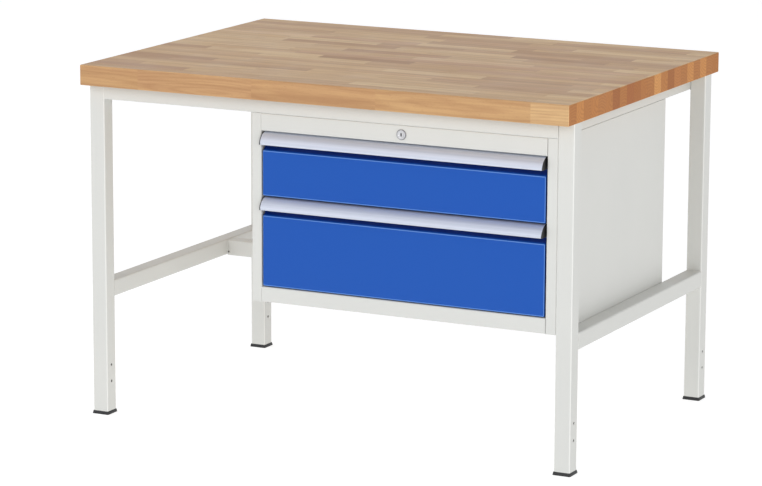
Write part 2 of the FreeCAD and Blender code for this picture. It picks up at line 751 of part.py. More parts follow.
def lock_case():
    """Threaded barrel with a bevelled rosette in front of the fascia."""
    front = V(HXC, HY0 - ROSETTE_T, LOCK_Z)
    rosette = prism(ROSETTE_R, ROSETTE_FLATS, front, "xz", ROSETTE_T)
    rim = [e for e in rosette.Edges if abs(e.CenterOfMass.y - front.y) < 0.01]
    rosette = rosette.makeChamfer(ROSETTE_EDGE, rim)
    bore = rod(PLUG_R + RUNNING_FIT, front, REARWARD, ROSETTE_T + LOCK_CASE_L)
    return fuse([rosette, lock_barrel(HY0, LOCK_CASE_L)]).cut(bore)


def lock_nut():
    seat = V(HXC, HY0 + SHEET, LOCK_Z)
    nut = prism(LOCK_NUT_R, HEX, seat, "xz", LOCK_NUT_T)
    return nut.cut(lock_barrel(seat.y, LOCK_NUT_T))


def lock_cylinder():
    front = HY0 - ROSETTE_T + PLUG_SINK
    length = ROSETTE_T - PLUG_SINK + LOCK_CASE_L + PLUG_TAIL
    plug = rod(PLUG_R, V(HXC, front, LOCK_Z), REARWARD, length)
    w, h = KEYHOLE_W / 2, KEYHOLE_H / 2
    return plug.cut(box(HXC - w, HXC + w, front, front + KEYHOLE_DEPTH, LOCK_Z - h, LOCK_Z + h))


def lock_rod():
    """Rod behind the cylinder, with the crank arm and the pin that lifts the locking bar."""
    start = HY0 + LOCK_CASE_L + PLUG_TAIL
    y = BAR_FRONT - CRANK_GAP - CRANK_T
    shaft = rod(ROD_R, V(HXC, start, LOCK_Z), REARWARD, y - start)
    eye = CRANK_EYE_R
    arm = box(HXC - CRANK_R, HXC, y, y + CRANK_T, LOCK_Z - eye, LOCK_Z + eye)
    arm.rotate(V(HXC, y, LOCK_Z), REARWARD, -math.degrees(CRANK_REST))
    pin = V(HXC - CRANK_R * math.cos(CRANK_REST), y, LOCK_Z - CRANK_R * math.sin(CRANK_REST))
    rounds = [rod(eye, centre, REARWARD, CRANK_T) for centre in (V(HXC, y, LOCK_Z), pin)]
    peg = rod(CRANK_PIN_R, pin, REARWARD, CRANK_T + CRANK_GAP + BAR_T + PIN_OVERRUN)
    return fuse([shaft, arm, peg] + rounds)


# ---------------------------------------------------------------- the whole bench
def frame_nodes():
    nodes = {
        "worktop": worktop(),
        "worktop_tabs": worktop_tabs(),
        "worktop_screws": worktop_screws(),
        "top_rail_front": long_top_rail(-1),
        "top_rail_rear": long_top_rail(1),
        "top_rail_left": short_top_rail(-1),
        "top_rail_right": short_top_rail(1),
        "side_rail_left": side_rail(-1),
        "side_rail_right": side_rail(1),
        "cross_beam": cross_beam(),
    }
    for depth, row in ((-1, "front"), (1, "rear")):
        for side, hand in ((-1, "left"), (1, "right")):
            nodes[f"leg_{row}_{hand}"] = leg(side, depth)
            nodes[f"foot_{row}_{hand}"] = foot(side, depth)
    return nodes


def housing_nodes():
    left_side, left_posts = housing_side(), runner_posts()
    return {
        "housing_side_left": left_side,
        "housing_side_right": mirrored(left_side),
        "housing_top": housing_top(),
        "housing_fascia": housing_fascia(),
        "housing_bottom": housing_bottom(),
        "housing_back": housing_back(),
        "housing_bolts": housing_bolts(),
        "housing_washers": housing_washers(),
        "runner_posts_left": left_posts,
        "runner_posts_right": mirrored(left_posts),
    }


def lock_nodes(hook_tips):
    return {
        "lock_case": lock_case(),
        "lock_nut": lock_nut(),
        "lock_cylinder": lock_cylinder(),
        "lock_rod": lock_rod(),
        "rod_bearing": rod_bearing(),
        "bar_guides": bar_guides(),
        "locking_bar": locking_bar(hook_tips),
    }


def drawer_nodes(name, z, front_height, tray_height):
    top = z + front_height
    runner_z = z + TRAY_LIFT + RUNNER_LIFT
    nodes = {
        f"{name}_front": drawer_front(z, front_height),
        f"{name}_tray": tray(z, tray_height),
        f"{name}_grip": grip_strip(top),
        f"{name}_grip_caps": grip_caps(top),
        f"{name}_screws": front_screws(z),
        f"{name}_catch": catch(z, tray_height),
    }
    members = {
        "outer": runner_outer(runner_z),
        "middle": runner_middle(runner_z),
        "inner": runner_inner(runner_z),
    }
    for member, left in members.items():
        nodes[f"{name}_runner_{member}_left"] = left
        nodes[f"{name}_runner_{member}_right"] = mirrored(left)
    return nodes


def main():
    os.makedirs("parts", exist_ok=True)
    drawers = {
        "upper": (UPPER_FRONT_Z, UPPER_FRONT_H, UPPER_TRAY_H),
        "lower": (LOWER_FRONT_Z, LOWER_FRONT_H, LOWER_TRAY_H),
    }
    nodes = frame_nodes()
    nodes.update(housing_nodes())
    nodes.update(lock_nodes([hook_tip(z, depth) for z, _, depth in drawers.values()]))
    for name, sizes in drawers.items():
        nodes.update(drawer_nodes(name, *sizes))
    for name, shape in nodes.items():
        shape.exportStep(f"parts/{name}.step")
        print(name, "solids", len(shape.Solids), "valid", shape.isValid())


main()
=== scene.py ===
import json
import math
import bpy
from mathutils import Matrix, Vector


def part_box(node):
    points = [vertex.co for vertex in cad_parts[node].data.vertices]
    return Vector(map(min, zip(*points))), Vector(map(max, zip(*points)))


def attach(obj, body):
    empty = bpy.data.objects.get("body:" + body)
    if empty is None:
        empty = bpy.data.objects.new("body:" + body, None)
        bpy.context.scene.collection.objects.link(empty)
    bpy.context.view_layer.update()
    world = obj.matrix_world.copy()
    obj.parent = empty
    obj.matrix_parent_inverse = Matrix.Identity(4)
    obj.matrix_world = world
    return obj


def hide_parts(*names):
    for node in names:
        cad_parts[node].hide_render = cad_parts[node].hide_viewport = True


# A workbench with a beech top, a light grey tube frame and two blue drawers, dressed for the
# studio around its CAD frame. Everything is in metres.
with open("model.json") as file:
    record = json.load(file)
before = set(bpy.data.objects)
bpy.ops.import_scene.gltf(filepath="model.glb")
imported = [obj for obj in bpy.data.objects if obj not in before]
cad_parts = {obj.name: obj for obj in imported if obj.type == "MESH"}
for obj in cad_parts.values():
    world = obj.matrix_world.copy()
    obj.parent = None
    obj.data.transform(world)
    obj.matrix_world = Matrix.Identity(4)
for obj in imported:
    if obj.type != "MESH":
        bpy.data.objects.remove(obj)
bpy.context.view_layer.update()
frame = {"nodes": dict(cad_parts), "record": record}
nodes = frame["nodes"]
record = frame["record"]

# ---- camera ----
CAMERA_AZIMUTH = math.radians(26.66)
CAMERA_ELEVATION = math.radians(11.598)
CAMERA_ROLL = math.radians(0.226)
CAMERA_PLACE = (3.5902, -7.2689, 2.0653)
CAMERA_LENS = 162.67
SENSOR = 36.0

# ---- studio ----
FRONT_WALL = (0.34, 0.35, 0.38, 1.0)
REAR_WALL = (0.85, 0.85, 0.85, 1.0)
CEILING = (0.50, 0.51, 0.54, 1.0)
FLOOR_HALF = 40.0
FLOOR_GLOW = 0.73

# ---- places of the CAD frame that finishes and pieces are set out from ----
WORKTOP_LOW, WORKTOP_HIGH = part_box("worktop")
LEG_LOW, LEG_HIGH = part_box("leg_rear_right")
LEG_HALF = (LEG_HIGH.x - LEG_LOW.x) / 2
LEG_MIDDLE = ((LEG_LOW.x + LEG_HIGH.x) / 2, (LEG_LOW.y + LEG_HIGH.y) / 2)
RAIL_LOW, RAIL_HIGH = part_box("top_rail_right")
FRONT_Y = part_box("upper_front")[0].y
HOUSING_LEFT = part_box("housing_side_left")[0].x
HOUSING_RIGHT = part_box("housing_side_right")[1].x
HOUSING_MIDDLE = (HOUSING_LEFT + HOUSING_RIGHT) / 2

SMOOTH_ANGLE = math.radians(28)
WELD_GAP = 2e-6


def rgb(red, green, blue):
    """Linear colour from screen values of 0 to 255."""
    def linear(value):
        value /= 255
        return value / 12.92 if value <= 0.04045 else ((value + 0.055) / 1.055) ** 2.4
    return (linear(red), linear(green), linear(blue), 1.0)


# ---------------------------------------------------------------- node trees
def add(tree, kind, inputs=(), **settings):
    """A node in a tree. A value given as a socket is linked, any other is set."""
    made = tree.nodes.new(kind)
    for name, value in settings.items():
        setattr(made, name, value)
    for key, value in dict(inputs).items():
        if isinstance(value, bpy.types.NodeSocket):
            tree.links.new(value, made.inputs[key])
        else:
            made.inputs[key].default_value = value
    return made


def calc(tree, operation, *values):
    """Result socket of a Math node."""
    return add(tree, "ShaderNodeMath", dict(enumerate(values)), operation=operation).outputs[0]


def apart(tree, value, middle):
    """Distance of a value from a middle, to either side."""
    return calc(tree, "ABSOLUTE", calc(tree, "SUBTRACT", value, middle))


def scaled(tree, vector, factors):
    return add(tree, "ShaderNodeVectorMath", {0: vector, 1: factors}, operation="MULTIPLY").outputs[0]


def moved(tree, vector, way):
    return add(tree, "ShaderNodeVectorMath", {0: vector, 1: way}, operation="ADD").outputs[0]


def split(tree, vector):
    """The x, y and z sockets of a vector."""
    return add(tree, "ShaderNodeSeparateXYZ", {0: vector}).outputs


def remap(tree, value, low, high, to_low, to_high, smooth=False):
    kind = "SMOOTHSTEP" if smooth else "LINEAR"
    inputs = {"Value": value, "From Min": low, "From Max": high, "To Min": to_low, "To Max": to_high}
    return add(tree, "ShaderNodeMapRange", inputs, interpolation_type=kind).outputs[0]


def mix(tree, factor, first, second, mode="MIX"):
    """Two colours mixed."""
    made = add(tree, "ShaderNodeMix", data_type="RGBA", blend_type=mode)
    for socket, value in ((made.inputs[0], factor), (made.inputs[6], first), (made.inputs[7], second)):
        if isinstance(value, bpy.types.NodeSocket):
            tree.links.new(value, socket)
        else:
            socket.default_value = value
    return made.outputs[2]


def toned(tree, colour, red, green, blue):
    """A colour with its three channels scaled."""
    return mix(tree, 1.0, colour, (red, green, blue, 1.0), "MULTIPLY")


def noise(tree, vector, scale, detail=2.0, roughness=0.5, distortion=0.0):
    inputs = {
        "Vector": vector, "Scale": scale, "Detail": detail, "Roughness": roughness,
        "Distortion": distortion}
    return add(tree, "ShaderNodeTexNoise", inputs).outputs["Fac"]


def grain(tree, place, along, across, detail=2.0, roughness=0.5, distortion=0.0):
    """Noise drawn out along the bench, with its scales along and across it."""
    return noise(tree, scaled(tree, place, (along, across, across)), 1.0, detail, roughness, distortion)


def ramp(tree, value, stops):
    """A value turned into a colour between the stops."""
    made = add(tree, "ShaderNodeValToRGB", {"Fac": value})
    elements = made.color_ramp.elements
    while len(elements) < len(stops):
        elements.new(0.5)
    for element, (place, colour) in zip(elements, stops):
        element.position = place
        element.color = colour
    return made.outputs["Color"]


def bumps(tree, height, distance, normal=None):
    """Normals of a surface with this relief."""
    inputs = {"Height": height, "Distance": distance, "Strength": 1.0}
    if normal:
        inputs["Normal"] = normal
    return add(tree, "ShaderNodeBump", inputs).outputs["Normal"]


def surface(name):
    """An empty material: its tree, its shader, and object coordinates."""
    material = bpy.data.materials.new(name)
    material.use_nodes = True
    tree = material.node_tree
    tree.nodes.clear()
    shader = add(tree, "ShaderNodeBsdfPrincipled")
    add(tree, "ShaderNodeOutputMaterial", {"Surface": shader.outputs[0]})
    place = add(tree, "ShaderNodeTexCoord").outputs["Object"]
    return material, tree, shader, place


def link(tree, shader, **sockets):
    """Sockets linked to the inputs of a shader by name."""
    for name, value in sockets.items():
        tree.links.new(value, shader.inputs[name.replace("_", " ")])


# ---------------------------------------------------------------- beech
TOP_DEPTH = WORKTOP_HIGH.y - WORKTOP_LOW.y
STAVE_ROWS = 22
STAVE_WIDTH = TOP_DEPTH / STAVE_ROWS
STAVE_LENGTH = 0.31
# each row starts at another place, up to this many staves along
ROW_SHIFT = 40.0
# half widths of the glue lines between rows and at the staves' ends
ROW_GLUE, END_GLUE = 0.5e-3, 0.6e-3
STAVE_TONES = (
    (0.0, rgb(184, 138, 90)), (0.16, rgb(197, 154, 104)), (0.42, rgb(208, 168, 114)),
    (0.72, rgb(217, 180, 126)), (1.0, rgb(227, 195, 143)))
# how far the heart of the tree lies from a stave's middle, along, across and up, and how much
# slower the rings change along the stave
HEART_SPREAD = (0.03, 0.10, 0.09)
RING_STRETCH = 0.10


def stave_layout(tree, axes):
    """Rows cut into staves: the place across in rows and along in staves, the stave, its glue lines."""
    across = calc(tree, "DIVIDE", calc(tree, "ADD", axes[1], TOP_DEPTH / 2), STAVE_WIDTH)
    inner = calc(tree, "MINIMUM", calc(tree, "MAXIMUM", across, 0.01), STAVE_ROWS - 0.01)
    row = calc(tree, "FLOOR", inner)
    shift = add(tree, "ShaderNodeTexWhiteNoise", {"W": row}, noise_dimensions="1D").outputs["Value"]
    run = calc(tree, "MULTIPLY_ADD", shift, ROW_SHIFT, calc(tree, "DIVIDE", axes[0], STAVE_LENGTH))
    cuts = {"W": run, "Scale": 1.0, "Randomness": 0.85}
    stave = add(tree, "ShaderNodeTexVoronoi", cuts, voronoi_dimensions="1D").outputs
    to_end = add(
        tree, "ShaderNodeTexVoronoi", cuts, voronoi_dimensions="1D",
        feature="DISTANCE_TO_EDGE").outputs["Distance"]
    off_middle = apart(tree, calc(tree, "FRACT", across), 0.5)
    row_line = remap(tree, off_middle, 0.5 - ROW_GLUE / STAVE_WIDTH, 0.5, 0.0, 1.0)
    end_line = remap(tree, to_end, 0.0, END_GLUE / STAVE_LENGTH, 1.0, 0.0)
    return across, run, stave, calc(tree, "MAXIMUM", row_line, end_line)


def long_grain(tree, tone, own):
    """Wood along the staves, with the streaks and fibres that also give its relief."""
    streaks = grain(tree, own, 1.6, 70.0, detail=5.0, roughness=0.62, distortion=0.6)
    clouds = grain(tree, own, 5.0, 26.0, detail=3.0, distortion=1.2)
    fibres = grain(tree, own, 26.0, 900.0)
    flecks = grain(tree, own, 190.0, 1500.0, detail=1.0)
    lighter = toned(tree, tone, 1.10, 1.10, 1.08)
    darker = toned(tree, tone, 0.80, 0.74, 0.68)
    wood = mix(tree, remap(tree, streaks, 0.38, 0.66, 0.0, 0.75, True), lighter, darker)
    wood = mix(tree, remap(tree, clouds, 0.45, 0.75, 0.0, 0.30), wood, rgb(178, 128, 88))
    wood = mix(tree, remap(tree, fibres, 0.35, 0.7, 0.0, 0.16), wood, rgb(160, 112, 74))
    wood = mix(tree, remap(tree, flecks, 0.64, 0.75, 0.0, 0.45, True), wood, rgb(138, 92, 60))
    return wood, streaks, fibres


def late_wood_rings(tree, axes, across, run, stave):
    """Growth rings round each stave's own heart: arches along it, arcs on its end."""
    along = calc(tree, "MULTIPLY", calc(tree, "SUBTRACT", run, stave["W"]), STAVE_LENGTH * RING_STRETCH)
    aside = calc(tree, "MULTIPLY_ADD", calc(tree, "FRACT", across), STAVE_WIDTH, -STAVE_WIDTH / 2)
    above = calc(tree, "SUBTRACT", axes[2], (WORKTOP_LOW.z + WORKTOP_HIGH.z) / 2)
    in_stave = add(tree, "ShaderNodeCombineXYZ", {0: along, 1: aside, 2: above}).outputs[0]
    heart = scaled(tree, moved(tree, stave["Color"], (-0.5, -0.5, -0.5)), HEART_SPREAD)
    inputs = {
        "Vector": moved(tree, heart, in_stave), "Scale": 46.0, "Distortion": 7.0, "Detail": 4.0,
        "Detail Scale": 0.8}
    rings = add(
        tree, "ShaderNodeTexWave", inputs, wave_type="RINGS", rings_direction="SPHERICAL").outputs["Fac"]
    return calc(tree, "POWER", rings, 2.0)


def end_grain(tree, tone, own, luck, late_wood):
    """Sawn ends of the staves: darker, and blocks of different trees."""
    pores = grain(tree, own, 200.0, 1300.0, detail=1.0)
    light_block = toned(tree, tone, 0.92, 0.62, 0.36)
    dark_block = toned(tree, tone, 0.64, 0.37, 0.19)
    sawn = mix(tree, remap(tree, luck, 0.15, 0.75, 0.0, 1.0), light_block, dark_block)
    sawn = mix(tree, calc(tree, "MULTIPLY", late_wood, 0.26), sawn, rgb(126, 70, 34))
    return mix(tree, remap(tree, pores, 0.5, 0.8, 0.0, 0.4), sawn, rgb(120, 70, 36))


def on_faces(tree, value, half):
    """1 on the two faces that stand half a size from the middle, 0 between them."""
    return remap(tree, calc(tree, "ABSOLUTE", value), half - 6e-4, half - 2e-4, 0.0, 1.0)


def oiled_beech():
    """Beech glued up from short staves that run along the bench, end grain at both ends."""
    material, tree, shader, place = surface("oiled_beech")
    axes = split(tree, place)
    across, run, stave, glue = stave_layout(tree, axes)
    luck = add(tree, "ShaderNodeSeparateColor", {0: stave["Color"]}).outputs
    own = moved(tree, scaled(tree, stave["Color"], (9.0, 5.0, 7.0)), place)
    rosy = remap(tree, luck[1], 0.55, 1.0, 0.0, 0.55)
    tone = mix(tree, rosy, ramp(tree, luck[0], STAVE_TONES), rgb(204, 156, 118))
    wood, streaks, fibres = long_grain(tree, tone, own)
    late_wood = late_wood_rings(tree, axes, across, run, stave)
    wood = mix(tree, calc(tree, "MULTIPLY", late_wood, 0.08), wood, rgb(160, 108, 68))
    at_end = on_faces(tree, axes[0], WORKTOP_HIGH.x)
    wood = mix(tree, at_end, wood, end_grain(tree, tone, own, luck[2], late_wood))

    # the long edges are painted paler than the top, a painted highlight for the light they catch, and show
    # more of the rings
    painted_lit_edges = toned(tree, wood, 1.27, 1.26, 1.25)
    worn = toned(tree, wood, 1.01, 1.01, 1.02)
    at_edge = on_faces(tree, axes[1], TOP_DEPTH / 2)
    figured = calc(tree, "MULTIPLY", at_edge, calc(tree, "MULTIPLY", late_wood, 0.20))
    wood = mix(tree, figured, mix(tree, at_edge, worn, painted_lit_edges), rgb(172, 116, 62))
    wood = mix(tree, calc(tree, "MULTIPLY", glue, 0.42), wood, rgb(118, 76, 46))

    rubbed = noise(tree, place, 7.0, 4.0, 0.6)
    rough = calc(tree, "ADD", remap(tree, rubbed, 0.3, 0.7, 0.33, 0.43), calc(tree, "MULTIPLY", fibres, 0.08))
    rough = calc(tree, "MULTIPLY_ADD", at_end, 0.35, rough)
    relief = calc(tree, "MULTIPLY_ADD", streaks, 0.5, calc(tree, "MULTIPLY", fibres, 0.5))
    relief = calc(tree, "SUBTRACT", relief, calc(tree, "MULTIPLY", glue, 0.8))
    link(tree, shader, Base_Color=wood, Roughness=rough, Normal=bumps(tree, relief, 8e-5))
    shader.inputs["Specular IOR Level"].default_value = 0.6
    return material


# ---------------------------------------------------------------- powder coats
# depths behind a drawer front's face, where the painted highlight on its folds' rounds begins and ends, and
# where the recess and flanges are painted dark as shade
FOLD_START, FOLD_END = (5e-5, 3e-4), (9e-4, 1.5e-3)
RECESS_SHADE = (0.0013, 0.0050)
# depths inside a leg's outer faces: the corner's painted highlight, and the tube's wall where the near-black
# inside begins
LEG_CORNER = (2.6e-3, 1.4e-3)
LEG_WALL = (1.9e-3, 1.6e-3)


def front_painted_highlight_and_shade(tree, coat, place):
    """Drawer front with painted light: a painted highlight on the folds, painted shade in the finger recess
    and on the flanges behind it.
    """
    behind = calc(tree, "SUBTRACT", split(tree, place)[1], FRONT_Y)
    start = remap(tree, behind, *FOLD_START, 0.0, 1.0)
    end = remap(tree, behind, *FOLD_END, 1.0, 0.0)
    fold = calc(tree, "MINIMUM", start, end)
    # painted highlight on the folds' rounds
    coat = mix(tree, calc(tree, "MULTIPLY", fold, 0.75), coat, rgb(112, 160, 228))
    # painted shade in the finger recess and on the flanges behind the face
    return mix(tree, remap(tree, behind, *RECESS_SHADE, 0.0, 0.85), coat, rgb(0, 22, 98))


def tube_painted_highlight_and_shade(tree, coat, place):
    """Legs: a painted highlight on the corners outside; near black inside the tube, partly bare steel and
    partly painted shade.
    """
    axes = split(tree, place)
    offsets = [apart(tree, calc(tree, "ABSOLUTE", axes[i]), LEG_MIDDLE[i]) for i in (0, 1)]
    widest = calc(tree, "MAXIMUM", *offsets)
    narrowest = calc(tree, "MINIMUM", *offsets)
    corner = remap(tree, narrowest, LEG_HALF - LEG_CORNER[0], LEG_HALF - LEG_CORNER[1], 0.0, 1.0)
    corner = calc(tree, "MULTIPLY", corner, calc(tree, "LESS_THAN", widest, LEG_HALF + 2e-4))
    # painted highlight along the tube's rounded corners
    coat = mix(tree, calc(tree, "MULTIPLY", corner, 0.9), coat, rgb(238, 238, 234))
    # inside the tube: partly bare steel, partly painted shade
    inside = remap(tree, widest, LEG_HALF - LEG_WALL[0], LEG_HALF - LEG_WALL[1], 1.0, 0.0)
    return mix(tree, inside, coat, rgb(44, 42, 40))


def powder_coat(name, colour, dusty, rough_range, peel, gloss, painted_light):
    """Baked powder coat: even colour with a faint drift, orange-peel skin, dulled patches, and painted
    highlights and shade set by place.
    """
    material, tree, shader, place = surface(name)
    drift = noise(tree, place, 2.3, 3.0, 0.55)
    speckle = noise(tree, place, 900.0, 2.0, 0.6)
    coat = mix(tree, remap(tree, drift, 0.3, 0.7, 0.0, 0.5), colour, dusty)
    coat = mix(tree, remap(tree, speckle, 0.35, 0.75, 0.0, 0.12), coat, dusty)
    # painted highlights and shade, set by place on the part
    coat = painted_light(tree, coat, place)
    handled = noise(tree, place, 14.0, 2.0, 0.5, 0.3)
    rough = remap(tree, handled, 0.32, 0.72, *rough_range)
    skin = noise(tree, place, 420.0, 2.0, 0.45)
    waves = noise(tree, place, 75.0, 1.0, 0.4)
    normal = bumps(tree, skin, 1.6e-5 * peel)
    normal = bumps(tree, waves, 5e-5 * peel, normal)
    link(tree, shader, Base_Color=coat, Roughness=rough, Normal=normal)
    shader.inputs["Specular IOR Level"].default_value = gloss
    return material


# ---------------------------------------------------------------- metals and plastic
# lock: half width and half height of the keyway, and the radii between which the rim is painted dark as shade
# and dark reflection
KEYWAY = (0.0011, 0.0040)
PAINTED_RIM_SHADE = (0.0098, 0.0108)


def drawn_aluminium():
    """Clear-anodised extrusion with die lines along its length."""
    material, tree, shader, place = surface("anodised_aluminium")
    lines = grain(tree, place, 3.0, 2600.0, detail=3.0, roughness=0.6)
    bands = grain(tree, place, 0.6, 260.0)
    satin = noise(tree, place, 1400.0, 1.0)
    tint = mix(tree, remap(tree, bands, 0.35, 0.7, 0.0, 1.0), rgb(222, 226, 236), rgb(211, 216, 227))
    tint = mix(tree, remap(tree, lines, 0.55, 0.8, 0.0, 0.3), tint, rgb(187, 195, 209))
    rough = calc(tree, "ADD", remap(tree, lines, 0.3, 0.7, 0.60, 0.70), calc(tree, "MULTIPLY", satin, 0.05))
    link(tree, shader, Base_Color=tint, Roughness=rough, Normal=bumps(tree, lines, 6e-6))
    shader.inputs["Metallic"].default_value = 1.0
    return material


def black_moulding():
    """Moulded black plastic with a fine eroded grain and pale scuffs."""
    material, tree, shader, place = surface("black_plastic")
    eroded = noise(tree, place, 1500.0, 3.0, 0.6)
    scuffs = noise(tree, scaled(tree, place, (30.0, 60.0, 160.0)), 1.0, 4.0, 0.65)
    tint = mix(tree, remap(tree, scuffs, 0.5, 0.8, 0.0, 0.5), rgb(30, 30, 31), rgb(58, 58, 60))
    rough = remap(tree, scuffs, 0.35, 0.7, 0.42, 0.6)
    link(tree, shader, Base_Color=tint, Roughness=rough, Normal=bumps(tree, eroded, 4e-5))
    return material


def bright_zinc():
    """Zinc-plated steel: cloudy plating, small crystals and fine rolling marks."""
    material, tree, shader, place = surface("bright_zinc")
    dull = rgb(168, 173, 180)
    clouds = noise(tree, place, 38.0, 4.0, 0.6, 0.5)
    crystals = add(tree, "ShaderNodeTexVoronoi", {"Vector": place, "Scale": 260.0}).outputs["Color"]
    crystal = add(tree, "ShaderNodeSeparateColor", {0: crystals}).outputs[0]
    marks = noise(tree, scaled(tree, place, (900.0, 40.0, 900.0)), 1.0)
    tint = mix(tree, remap(tree, clouds, 0.35, 0.7, 0.0, 0.8), rgb(205, 208, 212), dull)
    tint = mix(tree, calc(tree, "MULTIPLY", crystal, 0.18), tint, dull)
    rough = calc(
        tree, "ADD", remap(tree, clouds, 0.3, 0.7, 0.26, 0.42), calc(tree, "MULTIPLY", crystal, 0.05))
    link(tree, shader, Base_Color=tint, Roughness=rough, Normal=bumps(tree, marks, 6e-6))
    shader.inputs["Metallic"].default_value = 1.0
    return material


def painted_keyway_shade(tree, aside, above, depth):
    """Painted shade of the keyway: 1 in its slot, and a little less in its mouth."""
    half_width, half_height = KEYWAY
    slot = calc(
        tree, "MINIMUM", remap(tree, aside, half_width, half_width + 3e-4, 1.0, 0.0),
        remap(tree, above, half_height, half_height + 3e-4, 1.0, 0.0))
    deep = calc(tree, "MULTIPLY", slot, remap(tree, depth, 1e-4, 8e-4, 0.0, 1.0))
    mouth = calc(
        tree, "MINIMUM", remap(tree, aside, half_width + 4e-4, half_width + 7e-4, 0.9, 0.0),
        remap(tree, above, half_height - 1e-3, half_height, 0.9, 0.0))
    return calc(tree, "MAXIMUM", mouth, deep)


def turned_nickel():
    """Plated brass of the lock: lathe rings round its axis, a rim painted darker as shade and dark
    reflection, a keyway painted dark as its shade.
    """
    material, tree, shader, place = surface("nickel_plate")
    low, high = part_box("lock_cylinder")
    axes = split(tree, place)
    aside = apart(tree, axes[0], (low.x + high.x) / 2)
    above = apart(tree, axes[2], (low.z + high.z) / 2)
    depth = calc(tree, "SUBTRACT", axes[1], low.y)
    squares = calc(tree, "MULTIPLY_ADD", aside, aside, calc(tree, "MULTIPLY", above, above))
    radius = calc(tree, "SQRT", squares)
    turning = add(
        tree, "ShaderNodeTexNoise", {"W": radius, "Scale": 5200.0, "Detail": 2.0},
        noise_dimensions="1D").outputs["Fac"]
    clouds = noise(tree, place, 90.0, 3.0, 0.6, 0.5)
    tint = mix(tree, remap(tree, clouds, 0.35, 0.7, 0.0, 0.6), rgb(216, 216, 218), rgb(196, 196, 198))
    # painted shade and dark reflection on the rosette's rim
    tint = mix(tree, remap(tree, radius, *PAINTED_RIM_SHADE, 0.0, 1.0), tint, toned(tree, tint, 0.40, 0.40, 0.41))
    keyway = painted_keyway_shade(tree, aside, above, depth)
    # keyway painted near black as its shade
    tint = mix(tree, keyway, tint, rgb(16, 16, 17))
    rough = calc(tree, "ADD", remap(tree, turning, 0.3, 0.7, 0.26, 0.36), calc(tree, "MULTIPLY", keyway, 0.4))
    link(tree, shader, Base_Color=tint, Roughness=rough, Normal=bumps(tree, turning, 8e-6))
    shader.inputs["Metallic"].default_value = 1.0
    return material


finishes = {
    "beech": oiled_beech(),
    "frame_grey": powder_coat(
        "light_grey_coat", rgb(213, 213, 208), rgb(205, 206, 202), rough_range=(0.38, 0.46), peel=1.0,
        gloss=0.25, painted_light=tube_painted_highlight_and_shade),
    "drawer_blue": powder_coat(
        "gentian_blue_coat", rgb(2, 78, 171), rgb(8, 80, 169), rough_range=(0.34, 0.40), peel=0.8,
        gloss=0.3, painted_light=front_painted_highlight_and_shade),
    "aluminium": drawn_aluminium(),
    "black_plastic": black_moulding(),
    "zinc": bright_zinc(),
    "lock_nickel": turned_nickel(),
}


# ---------------------------------------------------------------- CAD solids
def smooth_shading():
    """Tree that shades a body smooth and keeps every fold sharper than an angle crisp."""
    tree = bpy.data.node_groups.new("smooth_by_angle", "GeometryNodeTree")
    tree.is_modifier = True
    tree.interface.new_socket("Geometry", in_out="INPUT", socket_type="NodeSocketGeometry")
    limit = tree.interface.new_socket("Angle", in_out="INPUT", socket_type="NodeSocketFloat")
    limit.default_value = SMOOTH_ANGLE
    tree.interface.new_socket("Geometry", in_out="OUTPUT", socket_type="NodeSocketGeometry")
    start = add(tree, "NodeGroupInput")
    bend = add(tree, "GeometryNodeInputMeshEdgeAngle").outputs["Unsigned Angle"]
    soft = add(tree, "FunctionNodeCompare", {0: bend, 1: start.outputs["Angle"]}, operation="LESS_EQUAL")
    faces = add(tree, "GeometryNodeSetShadeSmooth", {"Geometry": start.outputs["Geometry"]}, domain="FACE")
    edges = add(
        tree, "GeometryNodeSetShadeSmooth", {"Geometry": faces.outputs[0], "Shade Smooth": soft.outputs[0]},
        domain="EDGE")
    add(tree, "NodeGroupOutput", {"Geometry": edges.outputs[0]})
    return tree


def dress_solids():
    """Each CAD solid gets its finish, and normals that follow its bends."""
    tree = smooth_shading()
    finish_of = {part["node"]: part["material_slot"] for part in record["subparts"]}
    for name, solid in nodes.items():
        solid.data.materials.clear()
        solid.data.materials.append(finishes[finish_of[name]])
        weld = solid.modifiers.new("weld", "WELD")
        weld.merge_threshold = WELD_GAP
        solid.modifiers.new("smooth", "NODES").node_group = tree
        crisp = solid.modifiers.new("normals", "WEIGHTED_NORMAL")
        crisp.keep_sharp = True


dress_solids()


# ---------------------------------------------------------------- pieces that repeat
def grower(name, sizes, whole=()):
    """A Geometry Nodes tree that starts from seats and has named sizes; whole ones are counts."""
    tree = bpy.data.node_groups.new(name, "GeometryNodeTree")
    tree.is_modifier = True
    tree.interface.new_socket("Seats", in_out="INPUT", socket_type="NodeSocketGeometry")
    tree.interface.new_socket("Finish", in_out="INPUT", socket_type="NodeSocketMaterial")
    for size in sizes:
        tree.interface.new_socket(size, in_out="INPUT", socket_type="NodeSocketFloat")
    for count in whole:
        tree.interface.new_socket(count, in_out="INPUT", socket_type="NodeSocketInt")
    tree.interface.new_socket("Geometry", in_out="OUTPUT", socket_type="NodeSocketGeometry")
    return tree, add(tree, "NodeGroupInput").outputs


def finish_growth(tree, start, geometry, smooth):
    """Instances made real, shaded and given their material."""
    real = add(tree, "GeometryNodeRealizeInstances", {0: geometry}).outputs[0]
    shaded = add(tree, "GeometryNodeSetShadeSmooth", {0: real, "Shade Smooth": smooth}).outputs[0]
    coated = add(tree, "GeometryNodeSetMaterial", {0: shaded, "Material": start["Finish"]}).outputs[0]
    add(tree, "NodeGroupOutput", {"Geometry": coated})


def joined(tree, *parts):
    whole = add(tree, "GeometryNodeJoinGeometry")
    for part in reversed(parts):
        tree.links.new(part, whole.inputs[0])
    return whole.outputs[0]


